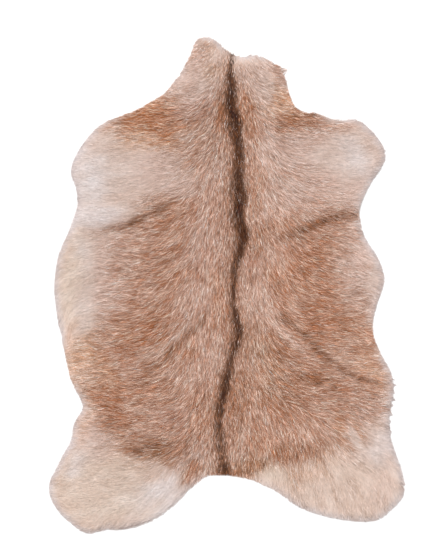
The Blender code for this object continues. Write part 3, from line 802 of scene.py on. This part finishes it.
def spread(surface, source, low, high):
    """The source's values from 0 to 1 spread from low to high."""
    ranged = surface.nodes.new("ShaderNodeMapRange")
    ranged.inputs["To Min"].default_value = low
    ranged.inputs["To Max"].default_value = high
    surface.links.new(source, ranged.inputs["Value"])
    return ranged.outputs["Result"]


def add_grain(surface, source, roughness, depth, strength):
    """Roughness within this range and a bump of this depth in metres, both from the source."""
    surface.links.new(spread(surface, source, *roughness), surface.shader.inputs["Roughness"])
    bump = surface.nodes.new("ShaderNodeBump")
    bump.inputs["Distance"].default_value = depth
    bump.inputs["Strength"].default_value = strength
    surface.links.new(source, bump.inputs["Height"])
    surface.links.new(bump.outputs["Normal"], surface.shader.inputs["Normal"])


def add_two_tones(surface, share, dark, light):
    """A base colour between two, by the share."""
    mix = surface.nodes.new("ShaderNodeMix")
    mix.data_type = "RGBA"
    mix.inputs["A"].default_value = (*dark, 1)
    mix.inputs["B"].default_value = (*light, 1)
    surface.links.new(share, mix.inputs["Factor"])
    surface.links.new(mix.outputs["Result"], surface.shader.inputs["Base Color"])


def add_own_tone(surface, attribute, shade):
    """The tone that the mesh holds at each point as the base colour, scaled by the shade."""
    tone = surface.nodes.new("ShaderNodeAttribute")
    tone.attribute_name = attribute
    scaled = surface.nodes.new("ShaderNodeVectorMath")
    scaled.operation = "SCALE"
    surface.links.new(tone.outputs["Color"], scaled.inputs[0])
    surface.links.new(shade, scaled.inputs["Scale"])
    surface.links.new(scaled.outputs["Vector"], surface.shader.inputs["Base Color"])


def hair_material():
    """Hair with each strand's own tone and painted shade, unevenly bleached and slightly glossy."""
    surface = new_surface("goat_hair")
    patches = noise(surface, scale=160, detail=4)
    add_own_tone(surface, "hair_tone_and_shade", spread(surface, patches, low=0.82, high=1.18))
    grain = noise(surface, scale=900, detail=3)
    add_grain(surface, grain, roughness=(0.42, 0.72), depth=0.0003, strength=0.4)
    surface.shader.inputs["Specular IOR Level"].default_value = HAIR_GLOSS
    return surface.material


def undercoat_material():
    """Short woolly hair close to the skin, between the lying strands, darkened by painted shade held in the
    mesh.
    """
    surface = new_surface("undercoat")
    wool = noise(surface, scale=420, detail=6, roughness=0.65)
    add_own_tone(surface, "wool_tone_and_shade", spread(surface, wool, low=0.6, high=1.4))
    add_grain(surface, wool, roughness=(0.75, 1.0), depth=0.0008, strength=0.8)
    return surface.material


def suede_material():
    """The skin side and the cut edge: pale tanned suede."""
    surface = new_surface("suede_skin")
    patches = noise(surface, scale=14, detail=5, roughness=0.6)
    add_two_tones(surface, patches, *SUEDE_TONES)
    nap = noise(surface, scale=1300, detail=4, roughness=0.7)
    add_grain(surface, nap, roughness=(0.78, 1.0), depth=0.0004, strength=0.5)
    return surface.material


def floor_material():
    """Plain matt white floor."""
    surface = new_surface("floor_paint")
    grain = noise(surface, scale=60, detail=3)
    add_two_tones(surface, grain, [FLOOR_GRAIN * value for value in FLOOR_TONE], FLOOR_TONE)
    add_grain(surface, grain, roughness=(0.85, 0.95), depth=0.0001, strength=0.1)
    return surface.material


# Pieces

def show(mesh, name, materials):
    """Puts the mesh in the scene as a piece of the goatskin."""
    for material in materials:
        mesh.materials.append(material)
    piece = bpy.data.objects.new(name, mesh)
    bpy.context.scene.collection.objects.link(piece)
    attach(piece, "root")
    return piece


def skin_outline(ring):
    """The skin's own edge: the outline drawn in a little, unevenly."""
    ahead = np.roll(ring, -1, axis=0) - np.roll(ring, 1, axis=0)
    outwards = np.stack([ahead[:, 1], -ahead[:, 0]], 1) / np.hypot(ahead[:, 0], ahead[:, 1])[:, None]
    inset = with_waves(SKIN_INSET, *ring.T, SKIN_EDGE_WAVES)
    return ring - outwards * inset[:, None]


def staggered(gap):
    """Points in staggered rows over the grid's whole box, this far apart."""
    rows = []
    row_gap = gap * math.sqrt(3) / 2
    for k, y in enumerate(np.arange(-GRID_HALF_LENGTH, GRID_HALF_LENGTH, row_gap)):
        x = np.arange(-GRID_HALF_WIDTH, GRID_HALF_WIDTH, gap) + (k % 2) * gap / 2
        rows.append(np.stack([x, np.full(len(x), y)], 1))
    return np.concatenate(rows)


def skin_points(outline):
    """Points well inside the skin's edge."""
    points = staggered(SKIN_POINT_GAP)
    return points[rim_distance(outline, *points.T) > SKIN_POINT_CLEAR]


def make_skin(hide):
    """The tanned skin: one closed sheet on the solid's folds, woolly above and suede below."""
    outline = skin_outline(hide.ring)
    points = np.concatenate([outline, skin_points(outline)])
    count = len(outline)
    edges = [(k, (k + 1) % count) for k in range(count)]
    made = delaunay_2d_cdt([Vector(point) for point in points], edges, [], 0, WELD)
    flat = np.array([tuple(point) for point in made[0]])
    faces = np.array(made[2])
    middles = flat[faces].mean(1)
    faces = faces[rim_distance(outline, *middles.T) > 0]
    x, y = flat.T
    rim = rim_distance(outline, x, y)
    under = hide.read(hide.under, x, y) + SKIN_LIFT
    growth = np.clip(rim / SKIN_EDGE_REACH, 0, 1)
    over = under + SKIN_EDGE_DEPTH + (SKIN_DEPTH - SKIN_EDGE_DEPTH) * growth
    verts = np.concatenate([np.stack([x, y, over], 1), np.stack([x, y, under], 1)]) * MM
    half = len(flat)
    walls = [(k, k + half, (k + 1) % count + half, (k + 1) % count) for k in range(count)]
    polygons = [tuple(face) for face in faces]
    polygons += [tuple(face[::-1] + half) for face in faces]
    polygons += walls
    mesh = bpy.data.meshes.new("skin")
    mesh.from_pydata([tuple(vert) for vert in verts], [], [tuple(map(int, face)) for face in polygons])
    kinds = np.ones(len(polygons), int)
    kinds[:len(faces)] = 0
    mesh.polygons.foreach_set("material_index", kinds)
    mesh.polygons.foreach_set("use_smooth", np.arange(len(polygons)) < 2 * len(faces))
    mesh.update()
    tones = hide_tone(x, y, rim, hide.outwards(x, y))
    # The wool is darkened, less where the hair is pale: painted shade deep in the coat
    shade = WOOL_SHADE + (PALE_WOOL_SHADE - WOOL_SHADE) * paleness(tones)
    rgba = np.column_stack([np.tile(paint(tones) * shade[:, None], (2, 1)), np.ones(2 * half)])
    wool = mesh.color_attributes.new("wool_tone_and_shade", "FLOAT_COLOR", "POINT")
    wool.data.foreach_set("color", rgba.reshape(-1).astype(np.float32))
    skin = show(mesh, "skin", [undercoat_material(), suede_material()])
    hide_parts(NODE)
    return skin


def lock_places(hide, layer, rng):
    """The locks' roots: staggered rows, jittered."""
    places = staggered(layer.lock_gap)
    places = places + rng.uniform(-0.5, 0.5, places.shape) * layer.lock_gap
    return places[hide.within(places) > 0]


def strand_lines(hide, layer, rng):
    """Each strand's root, middle and tip in x and y, its heading, its lock's number and the
    count of locks."""
    locks = lock_places(hide, layer, rng)
    count = len(locks)
    each = layer.strands
    lock = np.repeat(np.arange(count), each)
    radius = LOCK_RADIUS * np.sqrt(rng.uniform(0, 1, count * each))
    angle = rng.uniform(0, 2 * np.pi, count * each)
    offset = np.stack([radius * np.cos(angle), radius * np.sin(angle)], 1)
    root = locks[lock] + offset
    keep = hide.within(root) > ROOT_INSET
    lock, offset, root = lock[keep], offset[keep], root[keep]
    total = len(lock)
    sway = np.radians(LOCK_SWAY * rng.normal(0, 1, count)[lock] + STRAND_SWAY * rng.normal(0, 1, total))
    heading = hair_heading(*locks[lock].T) + sway
    length = by_level(LENGTHS, "length", root[:, 1]) * layer.length
    beside = np.abs(root[:, 0] - by_level(FLOW, "axis", root[:, 1])) / BACK_HALF_WIDTH
    length = length * (1 - BACK_SHORTER * np.exp(-beside ** 2))
    length = length * rng.uniform(*LOCK_LENGTHS, count)[lock] * rng.uniform(*STRAND_LENGTHS, total)
    bend = rng.normal(0, LOCK_BEND, count)[lock] + rng.normal(0, STRAND_BEND, total)
    bend = np.radians(BEND * bend)
    room = np.where(rng.uniform(0, 1, count) < TUFT_SHARE, TUFT_OVERHANG, OVERHANG)[lock]
    room = room * rng.uniform(0, 1, total)
    fringe = hide.within(root) < FRINGE_BAND
    fringe &= rng.uniform(0, 1, total) < FRINGE_SHARE
    outwards = hide.outwards(*root.T) + np.radians(FRINGE_SWAY) * rng.normal(0, 1, total)
    heading = np.where(fringe, outwards, heading)
    length = np.where(fringe, FRINGE_LENGTH * rng.uniform(*FRINGE_LENGTHS, total), length)
    for tuft in TUFTS:
        run_x, run_y = tuft.x - root[:, 0], tuft.y - root[:, 1]
        distance = np.hypot(run_x, run_y)
        gathered = distance < tuft.reach
        heading = np.where(gathered, np.arctan2(run_y, run_x), heading)
        length = np.where(gathered, distance * rng.uniform(*TUFT_LENGTHS, total), length)
        bend = np.where(gathered, 0, bend)
        room = np.where(gathered, tuft.reach, room)
    for _ in range(TRIM_ROUNDS):
        middle, tip = strand_run(root, offset, heading, bend, length)
        at_root, at_tip = hide.within(root), hide.within(tip)
        over = at_tip < -room
        share = np.where(over, (at_root + room) / np.maximum(at_root - at_tip, LEAST_RUN), 1)
        length = length * np.clip(share, LEAST_TRIM, 1)
    middle, tip = strand_run(root, offset, heading, bend, length)
    return root, middle, tip, heading, lock, count


def strand_run(root, offset, heading, bend, length):
    """A strand's middle and tip: it bends a little and gathers with its lock towards the tip."""
    half = (length / 2)[:, None]
    first = np.stack([np.cos(heading), np.sin(heading)], 1)
    second = np.stack([np.cos(heading + bend), np.sin(heading + bend)], 1)
    side = np.stack([-first[:, 1], first[:, 0]], 1)
    apart = (offset * side).sum(1)[:, None] * side
    middle = root + half * first - MID_GATHER * apart
    tip = middle + half * second - (TIP_GATHER - MID_GATHER) * apart
    return middle, tip


def strand_heights(hide, layer, rng, root, middle, tip):
    """Heights in mm of the strands' roots, middles and tips, from the skin up into the lying coat."""
    share = rng.uniform(layer.low, layer.high, len(root))
    under = [hide.read(hide.under, *points.T) for points in (root, middle, tip)]
    depth = [hide.read(hide.over, *points.T) - low for points, low in zip((root, middle, tip), under)]
    root_z = under[0] + np.minimum(ROOT_HEIGHT, ROOT_DEPTH_SHARE * depth[0])
    tip_z = under[2] + share * depth[2]
    middle_z = np.maximum(under[1] + MID_HEIGHT * share * depth[1], root_z)
    return root_z, middle_z, tip_z


def strand_colours(hide, layer, rng, root, middle, tip, lock, count):
    """Linear colours of the strands' roots, middles and tips: frosted pale ones among darker ones,
    with painted shade towards the roots and in the creases and painted light on the ridges.
    """
    total = len(lock)
    seen = SEEN_MIDDLE * middle + (1 - SEEN_MIDDLE) * tip + TONE_SCATTER * rng.normal(0, 1, (total, 2))
    x, y = seen.T
    tones = hide_tone(x, y, hide.within(seen), hide.outwards(x, y))
    lightness = np.clip((tones[:, 0] - LIGHT_FROM) / LIGHT_RANGE, LEAST_LIGHT, 1)
    pale = paleness(tones)
    calm = 1 - PALE_CALM * pale ** CALM_POWER
    patches = with_waves(streak_noise(x, y, FROST_STREAKS), x, y, FROST_LUMPS)
    share = np.clip(FROST_SHARE + FROST_PATCHES * patches, *FROST_SHARE_LIMITS) * lightness
    draw = LOCK_PART * rng.uniform(0, 1, count)[lock] + (1 - LOCK_PART) * rng.uniform(0, 1, total)
    # A mix of two even draws bunches in the middle, and this spreads it evenly again
    draw = np.where(draw < 0.5, 2 * draw ** 2, 1 - 2 * (1 - draw) ** 2)
    reach = FROST_REACH * calm * (DARK_FROST + (1 - DARK_FROST) * lightness)
    frost = reach[:, None] * (np.array(FROST_TONE, float) - tones)
    # The other hairs lose what the frosted ones gain, so the mean stays near the tone
    part = (FROST_SHARE * lightness)[:, None]
    loss = frost * part / (1 - part)
    tones = tones - (1 - part) * loss * (1 - np.array(FROST_LOSS))
    tones = tones + np.where((draw < share)[:, None], frost, -loss * np.array(FROST_LOSS))
    vary = LOCK_CONTRAST * rng.normal(0, 1, count)[lock] + STRAND_CONTRAST * rng.normal(0, 1, total)
    vary = vary * (1 + DARK_CONTRAST * (1 - lightness))
    vary_tone = np.array(VARY_TONE) + pale[:, None] * np.subtract(PALE_VARY_TONE, VARY_TONE)
    base = paint(tones) * (layer.shade * (1 + PALE_GAIN * pale))[:, None]
    base = base * np.exp((calm * vary)[:, None] * vary_tone)
    bleach = TIP_BLEACH * rng.uniform(0, 1, total) * lightness
    tip_colour = base + bleach[:, None] * (paint(TIP_TONE) - base)
    root_shade = np.array(ROOT_SHADE) + pale[:, None] * np.subtract(PALE_ROOT_SHADE, ROOT_SHADE)
    colours = (base * root_shade, base * MIDDLE_SHADE, tip_colour)
    return [colour * fold_shade(places) for colour, places in zip(colours, (root, middle, tip))]


def make_hair_layer(hide, layer, material):
    """One layer of hair: strands as tapered ribbons, gathered in locks."""
    rng = np.random.default_rng(layer.seed)
    root, middle, tip, heading, lock, count = strand_lines(hide, layer, rng)
    heights = strand_heights(hide, layer, rng, root, middle, tip)
    colours = strand_colours(hide, layer, rng, root, middle, tip, lock, count)
    total = len(root)
    roll = np.radians(rng.uniform(-ROLL, ROLL, total))
    width = layer.width / 2 * rng.uniform(*STRAND_WIDTHS, total)
    side = np.stack([-np.sin(heading) * np.cos(roll), np.cos(heading) * np.cos(roll), np.sin(roll)], 1)
    side = side * width[:, None]
    line = [np.column_stack([points, z]) for points, z in zip((root, middle, tip), heights)]
    low_side = ROOT_WIDTH * side
    verts = np.stack([line[0] + low_side, line[0] - low_side, line[1] + side, line[1] - side, line[2]], 1)
    tones = np.stack([colours[0], colours[0], colours[1], colours[1], colours[2]], 1)
    mesh = strand_mesh(layer.name, verts * MM, np.clip(tones, 0, 1))
    return show(mesh, layer.name, [material])


def strand_mesh(name, verts, tones):
    """A mesh of ribbons, each with five points, a four-sided root half and a three-sided tip half."""
    total = len(verts)
    corners = np.array([0, 1, 3, 2, 2, 3, 4])
    mesh = bpy.data.meshes.new(name)
    mesh.vertices.add(5 * total)
    mesh.vertices.foreach_set("co", verts.reshape(-1).astype(np.float32))
    loops = (5 * np.arange(total)[:, None] + corners).reshape(-1)
    mesh.loops.add(len(loops))
    mesh.loops.foreach_set("vertex_index", loops.astype(np.int32))
    mesh.polygons.add(2 * total)
    starts = (7 * np.arange(total)[:, None] + np.array([0, 4])).reshape(-1)
    mesh.polygons.foreach_set("loop_start", starts.astype(np.int32))
    mesh.polygons.foreach_set("use_smooth", np.ones(2 * total, bool))
    mesh.update(calc_edges=True)
    rgba = np.concatenate([tones, np.ones(tones.shape[:2] + (1,))], 2)
    attribute = mesh.color_attributes.new("hair_tone_and_shade", "FLOAT_COLOR", "POINT")
    attribute.data.foreach_set("color", rgba.reshape(-1).astype(np.float32))
    add_strand_map(mesh, total)
    return mesh


def add_strand_map(mesh, total):
    """A flat map in which every strand has a small cell of its own, root at the bottom and tip at the top."""
    low, high = CELL_MARGIN, 1 - CELL_MARGIN
    middle = (low + high) / 2
    cell = np.array([(low, low), (high, low), (high, middle), (low, middle),
                     (low, middle), (high, middle), (0.5, high)])
    column = np.arange(total) % CELLS_ACROSS
    row = np.arange(total) // CELLS_ACROSS
    uv = (np.stack([column, row], 1)[:, None, :] + cell) / CELLS_ACROSS
    layer = mesh.uv_layers.new(name="OFBake")
    layer.data.foreach_set("uv", uv.reshape(-1).astype(np.float32))


# Stage

def make_floor():
    """A wide plain floor."""
    half = FLOOR_SIZE / 2
    mesh = bpy.data.meshes.new("floor")
    corners = [(-half, -half, 0), (half, -half, 0), (half, half, 0), (-half, half, 0)]
    mesh.from_pydata(corners, [], [(0, 1, 2, 3)])
    mesh.materials.append(floor_material())
    floor = bpy.data.objects.new("floor", mesh)
    bpy.context.scene.collection.objects.link(floor)


def make_lights():
    """Even white surroundings and one large soft light from the upper left."""
    world = bpy.data.worlds.new("studio")
    world.use_nodes = True
    world.node_tree.nodes["Background"].inputs["Color"].default_value = (1, 1, 1, 1)
    world.node_tree.nodes["Background"].inputs["Strength"].default_value = WORLD_STRENGTH
    bpy.context.scene.world = world
    light = bpy.data.lights.new("key_light", "AREA")
    light.shape = "DISK"
    light.size = KEY_SIZE
    light.energy = KEY_POWER
    key = bpy.data.objects.new("key_light", light)
    key.location = KEY_PLACE
    key.rotation_mode = "QUATERNION"
    key.rotation_quaternion = (-Vector(KEY_PLACE)).to_track_quat("-Z", "Y")
    bpy.context.scene.collection.objects.link(key)


def make_camera():
    """Straight above the hide, with its neck at the top of the picture."""
    data = bpy.data.cameras.new("camera")
    data.type = "PERSP"
    data.lens = CAMERA_LENS
    data.sensor_width = CAMERA_SENSOR
    data.clip_start = 0.05
    data.clip_end = 100
    camera = bpy.data.objects.new("camera", data)
    camera.location = (CAMERA_X, CAMERA_Y, CAMERA_HEIGHT)
    camera.rotation_euler = (0, 0, 0)
    bpy.context.scene.collection.objects.link(camera)
    bpy.context.scene.camera = camera
    bpy.context.scene.view_settings.view_transform = "Standard"


def main():
    """Builds the skin, its hair, the floor, the light and the camera."""
    shape = welded(NODE)
    hide = HideShape(shape)
    shape.free()
    skin = make_skin(hide)
    material = hair_material()
    coats = [make_hair_layer(hide, layer, material) for layer in LAYERS]
    make_floor()
    make_lights()
    make_camera()


main()
